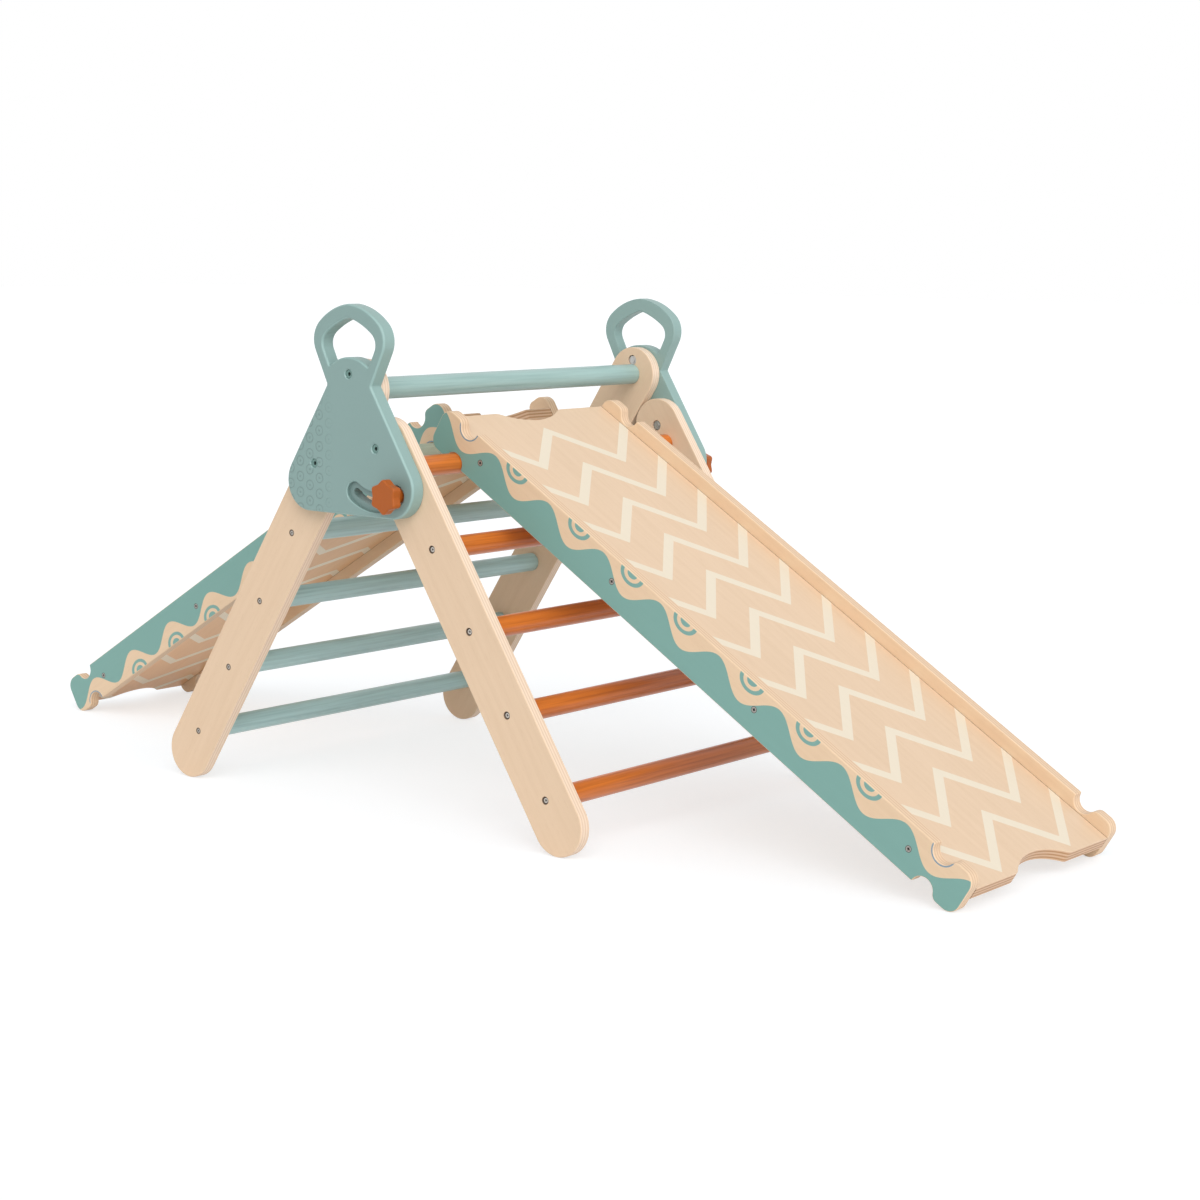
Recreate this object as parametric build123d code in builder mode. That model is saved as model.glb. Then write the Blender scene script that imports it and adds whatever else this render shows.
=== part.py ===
from build123d import *
from math import acos, asin, atan2, cos, degrees, hypot, pi, radians, sin, sqrt
import os

# A folding climbing triangle with a wide slide on one side and a narrow ramp on the other.
# Millimetres. X runs along the slide, Y across the frame, Z up.
# The origin is on the floor, under the middle of the frame.
# The rear ladder leans from -X towards the top, the front ladder from +X.
# "near" is the -Y side of a pair, "far" the +Y side.

# Plywood and play
ply = 18.0                  # thickness of every plywood plate
edge_round = 1.5            # routed edge of the plywood plates
fixed_gap = 0.05            # radial room round a screw or bolt that holds still
turn_gap = 0.06             # radial room round the bolt that the front ladder turns on
side_gap = 0.3              # between the front ladder and the brackets
cut_over = 1.0              # how far a cut runs past the face it starts from

# Ladders
frame_width = 632.0         # over the outer faces of the rear legs
leg_width = 85.0
tilt = 33.0                 # each ladder from the vertical
rung_radius = 15.0
bar_radius = 15.75
end_round = 1.0             # broken edge at the rung ends
rung_count = 5
first_rung = 38.5           # foot centre to lowest rung, along the leg
rung_pitch = 128.0
fold_gap = 1.5              # between the two legs of a side when folded

# Screws through the legs into the rungs
rung_head_radius = 4.0
rung_head_height = 3.0
rung_shank_radius = 2.5
rung_screw_bite = 36.0      # depth in the rung
socket_radius = 1.9         # hexagon socket, over its corners
socket_depth = 2.0
rear_sink = 0.4             # head below the rear leg's face
front_sink = 1.5            # head below the front leg's face
front_bore_radius = 5.3     # wide counterbore on the front leg
covered_sink = 0.6          # head below the face where the bracket covers it

# Brackets: heights are above or below the crossing of the legs' centre lines
bracket_thickness = 22.0
bracket_round = 3.5         # outer rim
bracket_back_round = 1.0    # rim against the leg
neck_half = 43.0
neck_rise = 6.0
neck_round = 4.0
lobe_radius = 42.0
lobe_half = 82.0            # lobe centre from the middle
lobe_drop = 134.0
loop_lean = 26.3            # side of the handle from the vertical
loop_rise = 119.5
loop_arc_radius = 97.0
loop_arc_past = 7.4         # centre of each top arc, past the middle
loop_corner_round = 35.0
loop_peak_round = 15.0
band_side = 16.0            # width of the handle's band at its sides
opening_rise = 100.0
opening_arc_radius = 125.0
opening_arc_past = 32.3     # centre of each of its top arcs, past the middle
dome_rise = 45.5
dome_radius = 60.0
opening_corner_round = 19.0
opening_peak_round = 12.0
opening_foot_round = 1.5

# Bolts through the brackets
bolt_radius = 4.0
bolt_head_radius = 6.2
bolt_head_height = 7.0
bolt_sink = 2.6             # head below the bracket's face
bolt_socket_radius = 3.0
bolt_socket_depth = 3.5
seat_radius = 6.6           # hole round the bolt head
seat_bevel = 1.3
nut_flats = 13.0            # across the flats
nut_height = 6.0
nut_seat_radius = 8.2       # round recess in the leg's inner face
nut_seat_depth = 8.0
bolt_tail = 1.0             # bolt end past the nut
top_bolt_rise = 22.0        # bolt above the crossing of the centre lines

# Clamp: a bolt in a curved slot, with a knob outside
clamp_reach = 75.0          # clamp bolt from the pivot
slot_radius = 5.5           # half the width of the through slot
recess_radius = 14.5        # half the width of the recess round it
recess_depth = 6.0
recess_bevel = 1.3
washer_radius = 12.0
washer_thickness = 1.6
hub_radius = 11.0
knob_stand = 12.0           # back of the knob's body in front of the bracket
knob_thickness = 15.0
knob_tip = 26.0             # star corner before rounding
knob_valley = 19.9
knob_tip_round = 5.0
knob_valley_round = 9.0
knob_edge_round = 2.2
knob_lobes = 6
insert_radius = 6.0
insert_length = 14.0
insert_end = 1.5            # insert's end from the end of the bolt's hole
knob_face_left = 4.0        # plastic left in front of the bolt's hole

# Slide and ramp
rail_length = 1040.0
rail_height = 63.0
rail_corner = 17.5
notch_inset = 54.0          # notch centre from the rail's end
notch_depth = 16.8
notch_radius = 16.3
notch_end_round = 11.0      # corner towards the rail's end
notch_mid_round = 2.5       # corner towards the rail's middle
seam_turn = 90.0            # keeps the start of a notch's circle away from its corners
hook_gap = 0.3              # between a rung and the bottom of its notch
slide_width = 381.0
slide_near_y = -197.0
ramp_width = 257.0
ramp_near_y = -93.0
face_inset = 19.0           # patterned face of the board below the rail's edge
board_round = 1.0
slide_arch_radius = 119.5
slide_arch_depth = 22.0
slide_arch_round = 16.0
ramp_arch_radius = 70.0
ramp_arch_depth = 23.0
ramp_arch_round = 12.0
rail_screw_count = 4
rail_screw_pitch = 282.5
rail_head_radius = 4.7
rail_head_height = 3.6
rail_shank_radius = 2.2
rail_screw_bite = 30.0
cross_half = 2.6            # cross recess, from its middle to the end of an arm
cross_width = 1.2
cross_depth = 2.0

# Worked out from the sizes above
lean = radians(tilt)
leg_radius = leg_width / 2
outer_y = frame_width / 2
front_outer_y = outer_y - side_gap
rear_length = first_rung + rung_count * rung_pitch
foot_x = rear_length * sin(lean)
cross_z = leg_radius + rear_length * cos(lean)
pivot_drop = (leg_width + fold_gap) / sin(2 * lean)
pivot_x = pivot_drop * sin(lean)
pivot_z = cross_z - pivot_drop * cos(lean)
front_length = rear_length - pivot_drop
clamp_x = pivot_x + clamp_reach * sin(lean)
clamp_z = pivot_z - clamp_reach * cos(lean)
rung_places = [first_rung + k * rung_pitch for k in range(rung_count)]
hook_x = foot_x - rung_places[-1] * sin(lean)
hook_z = leg_radius + rung_places[-1] * cos(lean)

# The rail stands on its rounded foot corner and hangs with its notch over the top rung
hook_v = notch_depth - hook_gap - rung_radius
run = rail_length - notch_inset - rail_corner
drop = rail_corner - hook_v
slope = asin((hook_z - rail_corner) / hypot(run, drop)) + atan2(drop, run)
ramp_foot_x = hook_x + run * cos(slope) + drop * sin(slope)

os.makedirs("parts", exist_ok=True)


def keep(part, name):
    """Label a finished piece and write it to its own file."""
    part.label = name
    export_step(part, f"parts/{name}.step")


def side_plane(x, y, z):
    """Plane facing the viewer's side, with X to the right and Z up."""
    return Plane(origin=(x, y, z), x_dir=(1, 0, 0), z_dir=(0, -1, 0))


def ladder_plane(side, y):
    """Plane with its origin at a leg's foot centre and X up the leg. Side -1 is the rear ladder."""
    return Plane(origin=(side * foot_x, y, leg_radius),
                 x_dir=(-side * sin(lean), 0, cos(lean)), z_dir=(0, -1, 0))


def ramp_plane(side, y):
    """Plane with its origin at a rail's foot corner, X up the slope. Side 1 is the slide."""
    along = Vector(-side * cos(slope), 0, sin(slope))
    up = Vector(side * sin(slope), 0, cos(slope))
    corner = Vector(side * ramp_foot_x, y, rail_corner) - along * rail_corner - up * rail_corner
    return Plane(origin=corner, x_dir=along, z_dir=(0, side, 0))


def outward(plane, x, y, hand):
    """Plane at a point of another plane, facing away from the frame: hand -1 is near, 1 is far."""
    place = plane.from_local_coords(Vector(x, y, 0))
    return Plane(origin=place, x_dir=plane.x_dir, z_dir=(0, hand, 0))


def meet(start, lean_out, centre, radius):
    """Where a line that leans out from the vertical meets the upper side of a circle."""
    dx, dz = sin(lean_out), cos(lean_out)
    fx, fz = start[0] - centre[0], start[1] - centre[1]
    along = fx * dx + fz * dz
    reach = -along + sqrt(along ** 2 - fx ** 2 - fz ** 2 + radius ** 2)
    return (start[0] + reach * dx, start[1] + reach * dz)


# Legs

def rounded_leg(side, low_y, length):
    """A plain strip of plywood with both ends fully round."""
    with BuildPart() as strip:
        with BuildSketch(ladder_plane(side, low_y)):
            with Locations((length / 2, 0)):
                SlotCenterToCenter(length, leg_width)
        extrude(amount=ply, dir=(0, 1, 0))
        faces_round = strip.edges().filter_by(GeomType.LINE).filter_by(Axis.Y, reverse=True)
        arcs = strip.edges().filter_by(GeomType.CIRCLE)
        fillet(faces_round + arcs, radius=edge_round)
    return strip.part


def screw_hole(plane, head_radius, head_sink):
    """Cut a counterbored screw hole into the open part, from a plane on its outer face."""
    with BuildSketch(plane) as shaft:
        Circle(rung_shank_radius + fixed_gap)
    extrude(shaft.sketch, amount=-(ply + cut_over), mode=Mode.SUBTRACT)
    with BuildSketch(plane) as bore:
        Circle(head_radius)
    extrude(bore.sketch, amount=-(head_sink + rung_head_height), mode=Mode.SUBTRACT)


def bolt_hole(plane, radius, seat_depth):
    """Cut a bolt hole through a leg, with a round seat at the inner face where one is wanted."""
    with BuildSketch(plane) as shaft:
        Circle(radius)
    extrude(shaft.sketch, amount=-(ply + cut_over), mode=Mode.SUBTRACT)
    if seat_depth:
        with BuildSketch(plane.offset(-ply)) as seat:
            Circle(nut_seat_radius)
        extrude(seat.sketch, amount=seat_depth, mode=Mode.SUBTRACT)


def rung_sink(side, place):
    """How deep a rung's screw head sits below the leg's outer face."""
    if place == rung_places[-1] or place == rear_length:
        return covered_sink
    return rear_sink if side < 0 else front_sink


def rung_bore(side, place):
    """Radius of the counterbore round a rung's screw head."""
    wide = side > 0 and place != rung_places[-1]
    return front_bore_radius if wide else rung_head_radius + fixed_gap


for hand, where in ((-1, "near"), (1, "far")):
    face_y = hand * outer_y
    low_y = min(face_y, face_y - hand * ply)
    with BuildPart() as rear_leg:
        add(rounded_leg(-1, low_y, rear_length))
        face = ladder_plane(-1, face_y)
        for place in rung_places[:-1] + [rear_length]:
            screw_hole(outward(face, place, 0, hand), rung_bore(-1, place), rung_sink(-1, place))
        bolt_hole(outward(face, rung_places[-1], 0, hand), bolt_radius + fixed_gap, 0)
        bolt_hole(outward(side_plane(0, face_y, cross_z + top_bolt_rise), 0, 0, hand),
                  bolt_radius + fixed_gap, nut_seat_depth)
    keep(rear_leg.part, f"rear_leg_{where}")

    face_y = hand * front_outer_y
    low_y = min(face_y, face_y - hand * ply)
    with BuildPart() as front_leg:
        add(rounded_leg(1, low_y, front_length))
        face = ladder_plane(1, face_y)
        for place in rung_places:
            screw_hole(outward(face, place, 0, hand), rung_bore(1, place), rung_sink(1, place))
        bolt_hole(outward(face, front_length, 0, hand), bolt_radius + turn_gap, nut_seat_depth)
        bolt_hole(outward(face, front_length - clamp_reach, 0, hand),
                  bolt_radius + fixed_gap, nut_seat_depth)
    keep(front_leg.part, f"front_leg_{where}")


# Rungs and top bar

def round_bar(side, place, radius, half_length, hole_radius, bite):
    """A round beech bar across the frame, with a screw hole in each end."""
    centre = ladder_plane(side, 0).from_local_coords(Vector(place, 0, 0))
    with BuildPart() as bar:
        with BuildSketch(side_plane(centre.X, 0, centre.Z)):
            Circle(radius)
        extrude(amount=half_length, both=True)
        fillet(bar.edges().filter_by(GeomType.CIRCLE), radius=end_round)
        for hand in (-1, 1):
            end = outward(side_plane(centre.X, hand * half_length, centre.Z), 0, 0, hand)
            with BuildSketch(end):
                Circle(hole_radius)
            extrude(amount=-bite, mode=Mode.SUBTRACT)
    return bar.part


hole_end = bolt_tail        # free depth past the end of a screw
for side, ladder, half in ((-1, "rear", outer_y - ply), (1, "front", front_outer_y - ply)):
    for number, place in enumerate(rung_places, start=1):
        bolted = side < 0 and number == rung_count
        hole = (bolt_radius if bolted else rung_shank_radius) + fixed_gap
        rung = round_bar(side, place, rung_radius, half, hole, rung_screw_bite + hole_end)
        keep(rung, f"{ladder}_rung_{number}")
top_bar = round_bar(-1, rear_length, bar_radius, outer_y - ply,
                    rung_shank_radius + fixed_gap, rung_screw_bite + hole_end)
keep(top_bar, "top_bar")


# Brackets

def bracket_outline():
    """Draw a bracket's outer outline: two lobes below, a waist, and the handle above."""
    neck = (neck_half, cross_z + neck_rise)
    lobe = (lobe_half, cross_z - lobe_drop)
    away = hypot(neck[0] - lobe[0], neck[1] - lobe[1])
    turn = atan2(neck[1] - lobe[1], neck[0] - lobe[0]) - acos(lobe_radius / away)
    touch = (lobe[0] + lobe_radius * cos(turn), lobe[1] + lobe_radius * sin(turn))
    bottom = (lobe[0], lobe[1] - lobe_radius)
    halfway = (turn - pi / 2) / 2
    belly = (lobe[0] + lobe_radius * cos(halfway), lobe[1] + lobe_radius * sin(halfway))
    peak = (0, cross_z + loop_rise)
    for sign in (1, -1):
        Line((0, bottom[1]), (sign * bottom[0], bottom[1]))
        ThreePointArc((sign * bottom[0], bottom[1]), (sign * belly[0], belly[1]),
                      (sign * touch[0], touch[1]))
        Line((sign * touch[0], touch[1]), (sign * neck[0], neck[1]))
        Line((sign * neck[0], neck[1]), (sign * loop_corner[0], loop_corner[1]))
        RadiusArc((sign * loop_corner[0], loop_corner[1]), peak, -sign * loop_arc_radius)


def arc_centre(rise, radius, past):
    """Centre of a top arc that reaches its rise on the middle line."""
    return (-past, cross_z + rise - sqrt(radius ** 2 - past ** 2))


loop_centre = arc_centre(loop_rise, loop_arc_radius, loop_arc_past)
loop_corner = meet((neck_half, cross_z + neck_rise), radians(loop_lean), loop_centre,
                   loop_arc_radius)
inner_start = (neck_half - band_side / cos(radians(loop_lean)), cross_z + neck_rise)
inner_centre = arc_centre(opening_rise, opening_arc_radius, opening_arc_past)
inner_corner = meet(inner_start, radians(loop_lean), inner_centre, opening_arc_radius)
inner_peak = (0, cross_z + opening_rise)
dome_foot = meet(inner_start, radians(loop_lean),
                 (0, cross_z + dome_rise - dome_radius), dome_radius)


def slot_outline(half_width):
    """Sketch a curved slot about the pivot, from the open to the folded place of the clamp."""
    ends = [(pivot_x + sign * clamp_reach * sin(lean), clamp_z) for sign in (-1, 1)]
    with BuildLine():
        path = ThreePointArc(ends[0], (pivot_x, pivot_z - clamp_reach), ends[1])
    SlotArc(path, 2 * half_width)


for hand, where in ((-1, "near"), (1, "far")):
    with BuildPart() as bracket:
        with BuildSketch(side_plane(0, hand * outer_y, 0)) as outline:
            with BuildLine():
                bracket_outline()
            make_face()
            tips = outline.vertices()
            corners = tips.filter_by(lambda v: abs(abs(v.X) - loop_corner[0]) < fixed_gap)
            fillet(corners, radius=loop_corner_round)
            fillet(outline.vertices().sort_by(Axis.Y)[-1], radius=loop_peak_round)
            neck_z = cross_z + neck_rise
            waist = outline.vertices().filter_by(lambda v: abs(v.Y - neck_z) < fixed_gap)
            fillet(waist, radius=neck_round)
        extrude(amount=bracket_thickness, dir=(0, hand, 0))
        with BuildSketch(side_plane(0, hand * outer_y, 0)) as opening:
            with BuildLine():
                RadiusArc(inner_corner, inner_peak, -opening_arc_radius)
                RadiusArc((-inner_corner[0], inner_corner[1]), inner_peak, opening_arc_radius)
                Line(inner_corner, dome_foot)
                Line((-inner_corner[0], inner_corner[1]), (-dome_foot[0], dome_foot[1]))
                RadiusArc((-dome_foot[0], dome_foot[1]), dome_foot, dome_radius)
            make_face()
            corners = opening.vertices().filter_by(
                lambda v: abs(abs(v.X) - inner_corner[0]) < fixed_gap)
            fillet(corners, radius=opening_corner_round)
            fillet(opening.vertices().sort_by(Axis.Y)[-1], radius=opening_peak_round)
            feet = opening.vertices().filter_by(
                lambda v: abs(v.Y - dome_foot[1]) < fixed_gap)
            fillet(feet, radius=opening_foot_round)
        extrude(amount=bracket_thickness, dir=(0, hand, 0), mode=Mode.SUBTRACT)
        front_face = bracket.faces().filter_by(Axis.Y).sort_by(Axis.Y)
        back_face = front_face[0] if hand > 0 else front_face[-1]
        front_face = front_face[-1] if hand > 0 else front_face[0]
        fillet(front_face.edges(), radius=bracket_round)
        fillet(back_face.edges(), radius=bracket_back_round)
        front = side_plane(0, hand * (outer_y + bracket_thickness), 0)
        seats = [(0, cross_z + top_bolt_rise), (-hook_x, hook_z), (pivot_x, pivot_z)]
        for x, z in seats:
            seat = outward(front, x, z, hand)
            with BuildSketch(seat):
                Circle(seat_radius)
            extrude(amount=-(bolt_sink + bolt_head_height), mode=Mode.SUBTRACT)
            with BuildSketch(seat):
                Circle(bolt_radius + fixed_gap)
            extrude(amount=-(bracket_thickness + cut_over), mode=Mode.SUBTRACT)
            with Locations(Location(seat) * Location((0, 0, -seat_bevel))):
                Cone(seat_radius, seat_radius + seat_bevel, seat_bevel,
                     align=(Align.CENTER, Align.CENTER, Align.MIN), mode=Mode.SUBTRACT)
        with BuildSketch(front):
            slot_outline(recess_radius)
        extrude(amount=-recess_depth, dir=(0, hand, 0), mode=Mode.SUBTRACT)
        recess_radii = (recess_radius, clamp_reach - recess_radius, clamp_reach + recess_radius)
        rim = bracket.edges().filter_by(GeomType.CIRCLE).filter_by(
            lambda e: abs(abs(e.center().Y) - outer_y - bracket_thickness) < fixed_gap
            and min(abs(e.radius - r) for r in recess_radii) < fixed_gap)
        chamfer(rim, length=recess_bevel)
        with BuildSketch(front):
            slot_outline(slot_radius)
        extrude(amount=-bracket_thickness, dir=(0, hand, 0), mode=Mode.SUBTRACT)
    keep(bracket.part, f"bracket_{where}")


# Fasteners

def placed(planes):
    """Locations for the same fastener on several planes."""
    return Locations(*[Location(plane) for plane in planes])


def rung_screws(planes, leg_face):
    """Flat-headed screws with a hexagon socket. Each plane lies on a head's outer face."""
    with BuildPart() as screws:
        with placed(planes):
            Cylinder(rung_head_radius, rung_head_height,
                     align=(Align.CENTER, Align.CENTER, Align.MAX))
        shafts = [plane.offset(-rung_head_height) for plane in planes]
        for plane, shaft in zip(planes, shafts):
            depth = ply - (leg_face - abs(plane.origin.Y)) - rung_head_height
            with BuildSketch(shaft):
                Circle(rung_shank_radius)
            extrude(amount=-(depth + rung_screw_bite))
        with BuildSketch(*planes):
            RegularPolygon(socket_radius, 6)
        extrude(amount=-socket_depth, mode=Mode.SUBTRACT)
    return screws.part


def hex_bolt(head_plane, length, hexagon):
    """A bolt whose head's outer face lies on the plane, with its shaft behind it."""
    with BuildPart() as bolt:
        with BuildSketch(head_plane):
            if hexagon:
                RegularPolygon(nut_flats / 2, 6, major_radius=False)
            else:
                Circle(bolt_head_radius)
        extrude(amount=-bolt_head_height if not hexagon else -nut_height)
        with BuildSketch(head_plane):
            Circle(bolt_radius)
        extrude(amount=-length)
        if not hexagon:
            with BuildSketch(head_plane):
                RegularPolygon(bolt_socket_radius, 6)
            extrude(amount=-bolt_socket_depth, mode=Mode.SUBTRACT)
    return bolt.part


for hand, where in ((-1, "near"), (1, "far")):
    rear_face = ladder_plane(-1, hand * outer_y)
    heads = [outward(rear_face, place, 0, hand).offset(-rung_sink(-1, place))
             for place in rung_places[:-1] + [rear_length]]
    keep(rung_screws(heads, outer_y), f"rear_rung_screws_{where}")

    front_face = ladder_plane(1, hand * front_outer_y)
    heads = [outward(front_face, place, 0, hand).offset(-rung_sink(1, place))
             for place in rung_places]
    keep(rung_screws(heads, front_outer_y), f"front_rung_screws_{where}")

    # Bolts through the bracket: one into the upper rung, one to a nut behind the leg
    bracket_face = side_plane(0, hand * (outer_y + bracket_thickness), 0)
    head_gap = bracket_thickness - bolt_sink
    to_rung = outward(bracket_face, -hook_x, hook_z, hand).offset(-bolt_sink)
    rung_bolt = hex_bolt(to_rung, head_gap + ply + rung_screw_bite, False)
    keep(rung_bolt, f"bracket_rung_bolt_{where}")

    nut_face = outer_y - ply + nut_seat_depth       # where a nut bears, from the middle
    through = head_gap + (outer_y - nut_face) + nut_height + bolt_tail
    to_top = outward(bracket_face, 0, cross_z + top_bolt_rise, hand).offset(-bolt_sink)
    keep(hex_bolt(to_top, through, False), f"bracket_top_bolt_{where}")

    to_pivot = outward(bracket_face, pivot_x, pivot_z, hand).offset(-bolt_sink)
    pivot_nut_face = front_outer_y - ply + nut_seat_depth - side_gap
    through = head_gap + (outer_y - pivot_nut_face) + nut_height + bolt_tail
    keep(hex_bolt(to_pivot, through, False), f"pivot_bolt_{where}")

    for name, x, z, bearing in (("top_bolt_nut", 0, cross_z + top_bolt_rise, nut_face),
                                ("pivot_nut", pivot_x, pivot_z, pivot_nut_face)):
        with BuildPart() as nut:
            with BuildSketch(outward(side_plane(0, hand * bearing, 0), x, z, hand)):
                RegularPolygon(nut_flats / 2, 6, major_radius=False)
                Circle(bolt_radius + fixed_gap, mode=Mode.SUBTRACT)
            extrude(amount=-nut_height)
        keep(nut.part, f"{name}_{where}")

    # Clamp: hexagon head behind the front leg, washer in the recess, knob outside
    washer_face = outer_y + bracket_thickness - recess_depth + washer_thickness
    knob_back = outer_y + bracket_thickness + knob_stand
    knob_front = knob_back + knob_thickness
    bolt_end = knob_front - knob_face_left - insert_end
    head_back = front_outer_y - ply + nut_seat_depth - nut_height
    head = outward(side_plane(0, hand * head_back, 0), clamp_x, clamp_z, -hand)
    keep(hex_bolt(head, bolt_end - head_back, True), f"clamp_bolt_{where}")

    with BuildPart() as washer:
        with BuildSketch(outward(side_plane(0, hand * washer_face, 0), clamp_x, clamp_z, hand)):
            Circle(washer_radius)
            Circle(bolt_radius + turn_gap, mode=Mode.SUBTRACT)
        extrude(amount=-washer_thickness)
    keep(washer.part, f"clamp_washer_{where}")

    with BuildPart() as knob:
        back = outward(side_plane(0, hand * knob_back, 0), clamp_x, clamp_z, hand)
        with BuildSketch(back) as star:
            step = 2 * pi / knob_lobes
            corners = []
            for lobe in range(knob_lobes):
                tip, valley = pi / 2 + lobe * step, pi / 2 + (lobe + 1 / 2) * step
                corners += [(knob_tip * cos(tip), knob_tip * sin(tip)),
                            (knob_valley * cos(valley), knob_valley * sin(valley))]
            with BuildLine():
                Polyline(*corners, close=True)
            make_face()
            middle = (knob_tip + knob_valley) / 2
            tips = star.vertices().filter_by(lambda v: hypot(v.X, v.Y) > middle)
            fillet(tips, radius=knob_tip_round)
            dips = star.vertices().filter_by(
                lambda v: abs(hypot(v.X, v.Y) - knob_valley) < fixed_gap)
            fillet(dips, radius=knob_valley_round)
        extrude(amount=knob_thickness)
        rims = knob.faces().filter_by(Axis.Y)
        fillet(rims.edges(), radius=knob_edge_round)
        with BuildSketch(back):
            Circle(hub_radius)
        extrude(amount=-(knob_back - washer_face))
        with BuildSketch(outward(side_plane(0, hand * washer_face, 0), clamp_x, clamp_z, hand)):
            Circle(bolt_radius + turn_gap)
        extrude(amount=knob_front - knob_face_left - washer_face, mode=Mode.SUBTRACT)
        with BuildSketch(outward(side_plane(0, hand * bolt_end, 0), clamp_x, clamp_z, hand)):
            Circle(insert_radius)
        extrude(amount=-insert_length, mode=Mode.SUBTRACT)
    keep(knob.part, f"clamp_knob_{where}")

    with BuildPart() as insert:
        with BuildSketch(outward(side_plane(0, hand * bolt_end, 0), clamp_x, clamp_z, hand)):
            Circle(insert_radius)
            Circle(bolt_radius + turn_gap, mode=Mode.SUBTRACT)
        extrude(amount=-insert_length)
    keep(insert.part, f"knob_insert_{where}")


# Slide and ramp

def rail(side, low_y, outer_hand):
    """A long plywood rail with a hook notch on each edge near each end."""
    with BuildPart() as strip:
        with BuildSketch(ramp_plane(side, low_y)) as outline:
            with Locations((rail_length / 2, rail_height / 2)):
                Rectangle(rail_length, rail_height)
            fillet(outline.vertices(), radius=rail_corner)
            notch_v = notch_depth - notch_radius
            notches = [Location((s, v, 0), (0, 0, seam_turn))
                       for s in (notch_inset, rail_length - notch_inset)
                       for v in (notch_v, rail_height - notch_v)]
            with Locations(*notches):
                Circle(notch_radius, mode=Mode.SUBTRACT)
            past = outline.vertices().filter_by(lambda v: notch_corner(v) < 0)
            fillet(past, radius=notch_end_round)
            middle = outline.vertices().filter_by(lambda v: notch_corner(v) > 0)
            fillet(middle, radius=notch_mid_round)
        extrude(amount=ply, dir=(0, 1, 0))
        rims = strip.faces().filter_by(Axis.Y)
        fillet(rims.edges(), radius=edge_round)
        screws = [outward(ramp_plane(side, low_y + (ply if outer_hand > 0 else 0)),
                          place, rail_height / 2, outer_hand) for place in screw_places()]
        for plane in screws:
            with BuildSketch(plane):
                Circle(rail_shank_radius + fixed_gap)
            extrude(amount=-(ply + cut_over), mode=Mode.SUBTRACT)
        with Locations(*[Location(plane) * Location((0, 0, -rail_head_height))
                         for plane in screws]):
            Cone(rail_shank_radius + fixed_gap, rail_head_radius + fixed_gap, rail_head_height,
                 align=(Align.CENTER, Align.CENTER, Align.MIN), mode=Mode.SUBTRACT)
    return strip.part


def notch_corner(corner):
    """Which corner of a notch a point is: -1 towards the rail's end, 1 towards its middle, or 0."""
    reach = min(corner.X, rail_length - corner.X) - notch_inset
    on_edge = abs(abs(corner.Y - rail_height / 2) - rail_height / 2) < fixed_gap
    if not on_edge or abs(abs(reach) - notch_radius) > cut_over:
        return 0
    return -1 if reach < 0 else 1


def screw_places():
    """Places of a rail's screws, from its foot end."""
    first = (rail_length - (rail_screw_count - 1) * rail_screw_pitch) / 2
    return [first + k * rail_screw_pitch for k in range(rail_screw_count)]


def board(side, near_y, width, arch_radius, arch_depth, arch_round):
    """The plate between the rails, with an arch cut in each end."""
    low = rail_height - face_inset - ply if side > 0 else face_inset
    rail_frame = ramp_plane(side, near_y + width / 2)
    up = Vector(side * sin(slope), 0, cos(slope))
    middle = rail_frame.from_local_coords(Vector(rail_length / 2, low, 0))
    face = Plane(origin=middle, x_dir=rail_frame.x_dir, z_dir=up)
    inner = width - 2 * ply
    with BuildPart() as plate:
        with BuildSketch(face) as outline:
            Rectangle(rail_length, inner)
            arch_out = rail_length / 2 - arch_depth + arch_radius
            with Locations((-arch_out, 0), (arch_out, 0)):
                Circle(arch_radius, mode=Mode.SUBTRACT)
            shoulders = outline.vertices().filter_by(
                lambda v: abs(v.Y) < inner / 2 - fixed_gap
                and abs(abs(v.X) - rail_length / 2) < fixed_gap)
            fillet(shoulders, radius=arch_round)
        extrude(amount=ply)
        ends = plate.edges().filter_by(
            lambda e: abs(face.to_local_coords(e.center()).X) > rail_length / 2 - 2 * arch_depth)
        ends = ends.filter_by(lambda e: abs((e % 0.5).dot(up)) < fixed_gap)
        fillet(ends, radius=board_round)
        for hand in (-1, 1):
            edge = outward(ramp_plane(side, near_y + width / 2 + hand * inner / 2), 0, 0, hand)
            for place in screw_places():
                with BuildSketch(outward(ramp_plane(side, edge.origin.Y), place,
                                         rail_height / 2, hand)):
                    Circle(rail_shank_radius + fixed_gap)
                extrude(amount=-(rail_screw_bite + hole_end), mode=Mode.SUBTRACT)
    return plate.part


def rail_screws(side, face_y, hand):
    """Countersunk screws with a cross recess, through a rail into the board's edge."""
    planes = [outward(ramp_plane(side, face_y), place, rail_height / 2, hand)
              for place in screw_places()]
    with BuildPart() as screws:
        with Locations(*[Location(plane) * Location((0, 0, -rail_head_height))
                         for plane in planes]):
            Cone(rail_shank_radius, rail_head_radius, rail_head_height,
                 align=(Align.CENTER, Align.CENTER, Align.MIN))
        with BuildSketch(*planes):
            Circle(rail_shank_radius)
        extrude(amount=-(ply + rail_screw_bite))
        with BuildSketch(*planes):
            Rectangle(2 * cross_half, cross_width)
            Rectangle(cross_width, 2 * cross_half)
        extrude(amount=-cross_depth, mode=Mode.SUBTRACT)
    return screws.part


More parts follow.
